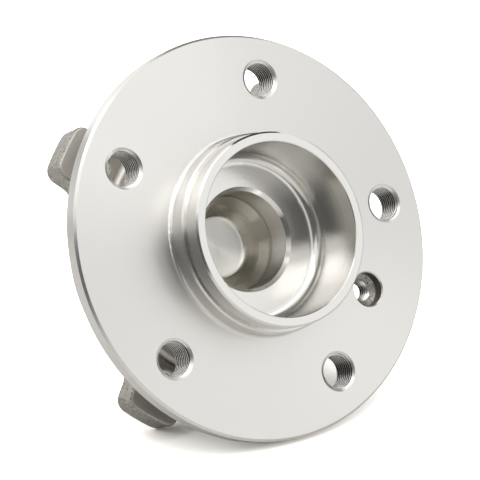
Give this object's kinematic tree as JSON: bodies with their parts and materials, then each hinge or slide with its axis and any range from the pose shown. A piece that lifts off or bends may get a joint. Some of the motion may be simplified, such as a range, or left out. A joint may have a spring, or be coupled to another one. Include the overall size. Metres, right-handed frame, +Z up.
{
  "type": "wheel hub bearing",
  "caption": "Flanged wheel hub on a sealed double-row ball bearing whose outer ring bolts to the steering knuckle by its ears.",
  "frame": {"origin": "on the hub axis, in the plane of the flange face that the brake disc and wheel sit on", "axes": "-Y out to the wheel and +Y in to the knuckle along the hub axis; +Z up with the four ears at 45 degrees to X and Z; +X to the right seen from the wheel"},
  "size_m": [0.1528, 0.0781, 0.1528],
  "materials": {
    "hub_steel": "fine turned steel, bare",
    "forged_steel": "shot-blasted forging with turned seats",
    "bearing_steel": "ground",
    "ball_steel": "lapped and polished",
    "sheet_steel": "pressed stainless sheet",
    "cage_nylon": "moulded, glass-filled",
    "seal_rubber": "moulded nitrile rubber",
    "encoder_rubber": "magnetised rubber, smooth"
  },
  "bodies": {
    "outer_ring_body": {"outer_ring": "forged_steel", "outboard_seal_case": "sheet_steel", "outboard_seal_lips": "seal_rubber", "inboard_seal_case": "sheet_steel", "inboard_seal_lips": "seal_rubber"},
    "hub_body": {"hub": "hub_steel", "inner_ring": "bearing_steel", "flinger": "sheet_steel", "encoder_ring": "encoder_rubber"},
    "outboard_cage_body": {"outboard_cage": "cage_nylon"},
    "inboard_cage_body": {"inboard_cage": "cage_nylon"},
    "outboard_ball_01_body": {"outboard_ball_01": "ball_steel"},
    "outboard_ball_02_body": {"outboard_ball_02": "ball_steel"},
    "outboard_ball_03_body": {"outboard_ball_03": "ball_steel"},
    "outboard_ball_04_body": {"outboard_ball_04": "ball_steel"},
    "outboard_ball_05_body": {"outboard_ball_05": "ball_steel"},
    "outboard_ball_06_body": {"outboard_ball_06": "ball_steel"},
    "outboard_ball_07_body": {"outboard_ball_07": "ball_steel"},
    "outboard_ball_08_body": {"outboard_ball_08": "ball_steel"},
    "outboard_ball_09_body": {"outboard_ball_09": "ball_steel"},
    "outboard_ball_10_body": {"outboard_ball_10": "ball_steel"},
    "outboard_ball_11_body": {"outboard_ball_11": "ball_steel"},
    "outboard_ball_12_body": {"outboard_ball_12": "ball_steel"},
    "outboard_ball_13_body": {"outboard_ball_13": "ball_steel"},
    "outboard_ball_14_body": {"outboard_ball_14": "ball_steel"},
    "outboard_ball_15_body": {"outboard_ball_15": "ball_steel"},
    "inboard_ball_01_body": {"inboard_ball_01": "ball_steel"},
    "inboard_ball_02_body": {"inboard_ball_02": "ball_steel"},
    "inboard_ball_03_body": {"inboard_ball_03": "ball_steel"},
    "inboard_ball_04_body": {"inboard_ball_04": "ball_steel"},
    "inboard_ball_05_body": {"inboard_ball_05": "ball_steel"},
    "inboard_ball_06_body": {"inboard_ball_06": "ball_steel"},
    "inboard_ball_07_body": {"inboard_ball_07": "ball_steel"},
    "inboard_ball_08_body": {"inboard_ball_08": "ball_steel"},
    "inboard_ball_09_body": {"inboard_ball_09": "ball_steel"},
    "inboard_ball_10_body": {"inboard_ball_10": "ball_steel"},
    "inboard_ball_11_body": {"inboard_ball_11": "ball_steel"},
    "inboard_ball_12_body": {"inboard_ball_12": "ball_steel"},
    "inboard_ball_13_body": {"inboard_ball_13": "ball_steel"},
    "inboard_ball_14_body": {"inboard_ball_14": "ball_steel"},
    "inboard_ball_15_body": {"inboard_ball_15": "ball_steel"}
  },
  "joints": [
    {"name": "hub_spin", "type": "hinge", "parent": "outer_ring_body", "child": "hub_body", "pos_m": [0, 0, 0], "axis": [0, 1, 0], "continuous": true},
    {"name": "outboard_cage_orbit", "type": "hinge", "parent": "outer_ring_body", "child": "outboard_cage_body", "pos_m": [0, 0.0275, 0], "axis": [0, 1, 0], "continuous": true},
    {"name": "inboard_cage_orbit", "type": "hinge", "parent": "outer_ring_body", "child": "inboard_cage_body", "pos_m": [0, 0.0465, 0], "axis": [0, 1, 0], "continuous": true},
    {"name": "outboard_ball_01_roll", "type": "hinge", "parent": "outboard_cage_body", "child": "outboard_ball_01_body", "pos_m": [0.03375, 0.0275, 0.00717], "axis": [-0.6287, 0.766, -0.1336], "continuous": true},
    {"name": "outboard_ball_02_roll", "type": "hinge", "parent": "outboard_cage_body", "child": "outboard_ball_02_body", "pos_m": [0.02791, 0.0275, 0.02028], "axis": [-0.52, 0.766, -0.3778], "continuous": true},
    {"name": "outboard_ball_03_roll", "type": "hinge", "parent": "outboard_cage_body", "child": "outboard_ball_03_body", "pos_m": [0.01725, 0.0275, 0.02988], "axis": [-0.3214, 0.766, -0.5567], "continuous": true},
    {"name": "outboard_ball_04_roll", "type": "hinge", "parent": "outboard_cage_body", "child": "outboard_ball_04_body", "pos_m": [0.00361, 0.0275, 0.03431], "axis": [-0.0672, 0.766, -0.6393], "continuous": true},
    {"name": "outboard_ball_05_roll", "type": "hinge", "parent": "outboard_cage_body", "child": "outboard_ball_05_body", "pos_m": [-0.01066, 0.0275, 0.03281], "axis": [0.1986, 0.766, -0.6113], "continuous": true},
    {"name": "outboard_ball_06_roll", "type": "hinge", "parent": "outboard_cage_body", "child": "outboard_ball_06_body", "pos_m": [-0.02309, 0.0275, 0.02564], "axis": [0.4301, 0.766, -0.4777], "continuous": true},
    {"name": "outboard_ball_07_roll", "type": "hinge", "parent": "outboard_cage_body", "child": "outboard_ball_07_body", "pos_m": [-0.03152, 0.0275, 0.01403], "axis": [0.5872, 0.766, -0.2614], "continuous": true},
    {"name": "outboard_ball_08_roll", "type": "hinge", "parent": "outboard_cage_body", "child": "outboard_ball_08_body", "pos_m": [-0.0345, 0.0275, 0], "axis": [0.6428, 0.766, 0], "continuous": true},
    {"name": "outboard_ball_09_roll", "type": "hinge", "parent": "outboard_cage_body", "child": "outboard_ball_09_body", "pos_m": [-0.03152, 0.0275, -0.01403], "axis": [0.5872, 0.766, 0.2614], "continuous": true},
    {"name": "outboard_ball_10_roll", "type": "hinge", "parent": "outboard_cage_body", "child": "outboard_ball_10_body", "pos_m": [-0.02309, 0.0275, -0.02564], "axis": [0.4301, 0.766, 0.4777], "continuous": true},
    {"name": "outboard_ball_11_roll", "type": "hinge", "parent": "outboard_cage_body", "child": "outboard_ball_11_body", "pos_m": [-0.01066, 0.0275, -0.03281], "axis": [0.1986, 0.766, 0.6113], "continuous": true},
    {"name": "outboard_ball_12_roll", "type": "hinge", "parent": "outboard_cage_body", "child": "outboard_ball_12_body", "pos_m": [0.00361, 0.0275, -0.03431], "axis": [-0.0672, 0.766, 0.6393], "continuous": true},
    {"name": "outboard_ball_13_roll", "type": "hinge", "parent": "outboard_cage_body", "child": "outboard_ball_13_body", "pos_m": [0.01725, 0.0275, -0.02988], "axis": [-0.3214, 0.766, 0.5567], "continuous": true},
    {"name": "outboard_ball_14_roll", "type": "hinge", "parent": "outboard_cage_body", "child": "outboard_ball_14_body", "pos_m": [0.02791, 0.0275, -0.02028], "axis": [-0.52, 0.766, 0.3778], "continuous": true},
    {"name": "outboard_ball_15_roll", "type": "hinge", "parent": "outboard_cage_body", "child": "outboard_ball_15_body", "pos_m": [0.03375, 0.0275, -0.00717], "axis": [-0.6287, 0.766, 0.1336], "continuous": true},
    {"name": "inboard_ball_01_roll", "type": "hinge", "parent": "inboard_cage_body", "child": "inboard_ball_01_body", "pos_m": [0.03375, 0.0465, 0.00717], "axis": [0.6287, 0.766, 0.1336], "continuous": true},
    {"name": "inboard_ball_02_roll", "type": "hinge", "parent": "inboard_cage_body", "child": "inboard_ball_02_body", "pos_m": [0.02791, 0.0465, 0.02028], "axis": [0.52, 0.766, 0.3778], "continuous": true},
    {"name": "inboard_ball_03_roll", "type": "hinge", "parent": "inboard_cage_body", "child": "inboard_ball_03_body", "pos_m": [0.01725, 0.0465, 0.02988], "axis": [0.3214, 0.766, 0.5567], "continuous": true},
    {"name": "inboard_ball_04_roll", "type": "hinge", "parent": "inboard_cage_body", "child": "inboard_ball_04_body", "pos_m": [0.00361, 0.0465, 0.03431], "axis": [0.0672, 0.766, 0.6393], "continuous": true},
    {"name": "inboard_ball_05_roll", "type": "hinge", "parent": "inboard_cage_body", "child": "inboard_ball_05_body", "pos_m": [-0.01066, 0.0465, 0.03281], "axis": [-0.1986, 0.766, 0.6113], "continuous": true},
    {"name": "inboard_ball_06_roll", "type": "hinge", "parent": "inboard_cage_body", "child": "inboard_ball_06_body", "pos_m": [-0.02309, 0.0465, 0.02564], "axis": [-0.4301, 0.766, 0.4777], "continuous": true},
    {"name": "inboard_ball_07_roll", "type": "hinge", "parent": "inboard_cage_body", "child": "inboard_ball_07_body", "pos_m": [-0.03152, 0.0465, 0.01403], "axis": [-0.5872, 0.766, 0.2614], "continuous": true},
    {"name": "inboard_ball_08_roll", "type": "hinge", "parent": "inboard_cage_body", "child": "inboard_ball_08_body", "pos_m": [-0.0345, 0.0465, 0], "axis": [-0.6428, 0.766, 0], "continuous": true},
    {"name": "inboard_ball_09_roll", "type": "hinge", "parent": "inboard_cage_body", "child": "inboard_ball_09_body", "pos_m": [-0.03152, 0.0465, -0.01403], "axis": [-0.5872, 0.766, -0.2614], "continuous": true},
    {"name": "inboard_ball_10_roll", "type": "hinge", "parent": "inboard_cage_body", "child": "inboard_ball_10_body", "pos_m": [-0.02309, 0.0465, -0.02564], "axis": [-0.4301, 0.766, -0.4777], "continuous": true},
    {"name": "inboard_ball_11_roll", "type": "hinge", "parent": "inboard_cage_body", "child": "inboard_ball_11_body", "pos_m": [-0.01066, 0.0465, -0.03281], "axis": [-0.1986, 0.766, -0.6113], "continuous": true},
    {"name": "inboard_ball_12_roll", "type": "hinge", "parent": "inboard_cage_body", "child": "inboard_ball_12_body", "pos_m": [0.00361, 0.0465, -0.03431], "axis": [0.0672, 0.766, -0.6393], "continuous": true},
    {"name": "inboard_ball_13_roll", "type": "hinge", "parent": "inboard_cage_body", "child": "inboard_ball_13_body", "pos_m": [0.01725, 0.0465, -0.02988], "axis": [0.3214, 0.766, -0.5567], "continuous": true},
    {"name": "inboard_ball_14_roll", "type": "hinge", "parent": "inboard_cage_body", "child": "inboard_ball_14_body", "pos_m": [0.02791, 0.0465, -0.02028], "axis": [0.52, 0.766, -0.3778], "continuous": true},
    {"name": "inboard_ball_15_roll", "type": "hinge", "parent": "inboard_cage_body", "child": "inboard_ball_15_body", "pos_m": [0.03375, 0.0465, -0.00717], "axis": [0.6287, 0.766, -0.1336], "continuous": true}
  ],
  "couplings": [
    {"joint": "outboard_cage_orbit", "follows": "hub_spin", "ratio": 0.4295},
    {"joint": "inboard_cage_orbit", "follows": "hub_spin", "ratio": 0.4295},
    {"joint": "outboard_ball_01_roll", "follows": "hub_spin", "ratio": -2.6625},
    {"joint": "outboard_ball_02_roll", "follows": "hub_spin", "ratio": -2.6625},
    {"joint": "outboard_ball_03_roll", "follows": "hub_spin", "ratio": -2.6625},
    {"joint": "outboard_ball_04_roll", "follows": "hub_spin", "ratio": -2.6625},
    {"joint": "outboard_ball_05_roll", "follows": "hub_spin", "ratio": -2.6625},
    {"joint": "outboard_ball_06_roll", "follows": "hub_spin", "ratio": -2.6625},
    {"joint": "outboard_ball_07_roll", "follows": "hub_spin", "ratio": -2.6625},
    {"joint": "outboard_ball_08_roll", "follows": "hub_spin", "ratio": -2.6625},
    {"joint": "outboard_ball_09_roll", "follows": "hub_spin", "ratio": -2.6625},
    {"joint": "outboard_ball_10_roll", "follows": "hub_spin", "ratio": -2.6625},
    {"joint": "outboard_ball_11_roll", "follows": "hub_spin", "ratio": -2.6625},
    {"joint": "outboard_ball_12_roll", "follows": "hub_spin", "ratio": -2.6625},
    {"joint": "outboard_ball_13_roll", "follows": "hub_spin", "ratio": -2.6625},
    {"joint": "outboard_ball_14_roll", "follows": "hub_spin", "ratio": -2.6625},
    {"joint": "outboard_ball_15_roll", "follows": "hub_spin", "ratio": -2.6625},
    {"joint": "inboard_ball_01_roll", "follows": "hub_spin", "ratio": -2.6625},
    {"joint": "inboard_ball_02_roll", "follows": "hub_spin", "ratio": -2.6625},
    {"joint": "inboard_ball_03_roll", "follows": "hub_spin", "ratio": -2.6625},
    {"joint": "inboard_ball_04_roll", "follows": "hub_spin", "ratio": -2.6625},
    {"joint": "inboard_ball_05_roll", "follows": "hub_spin", "ratio": -2.6625},
    {"joint": "inboard_ball_06_roll", "follows": "hub_spin", "ratio": -2.6625},
    {"joint": "inboard_ball_07_roll", "follows": "hub_spin", "ratio": -2.6625},
    {"joint": "inboard_ball_08_roll", "follows": "hub_spin", "ratio": -2.6625},
    {"joint": "inboard_ball_09_roll", "follows": "hub_spin", "ratio": -2.6625},
    {"joint": "inboard_ball_10_roll", "follows": "hub_spin", "ratio": -2.6625},
    {"joint": "inboard_ball_11_roll", "follows": "hub_spin", "ratio": -2.6625},
    {"joint": "inboard_ball_12_roll", "follows": "hub_spin", "ratio": -2.6625},
    {"joint": "inboard_ball_13_roll", "follows": "hub_spin", "ratio": -2.6625},
    {"joint": "inboard_ball_14_roll", "follows": "hub_spin", "ratio": -2.6625},
    {"joint": "inboard_ball_15_roll", "follows": "hub_spin", "ratio": -2.6625}
  ]
}
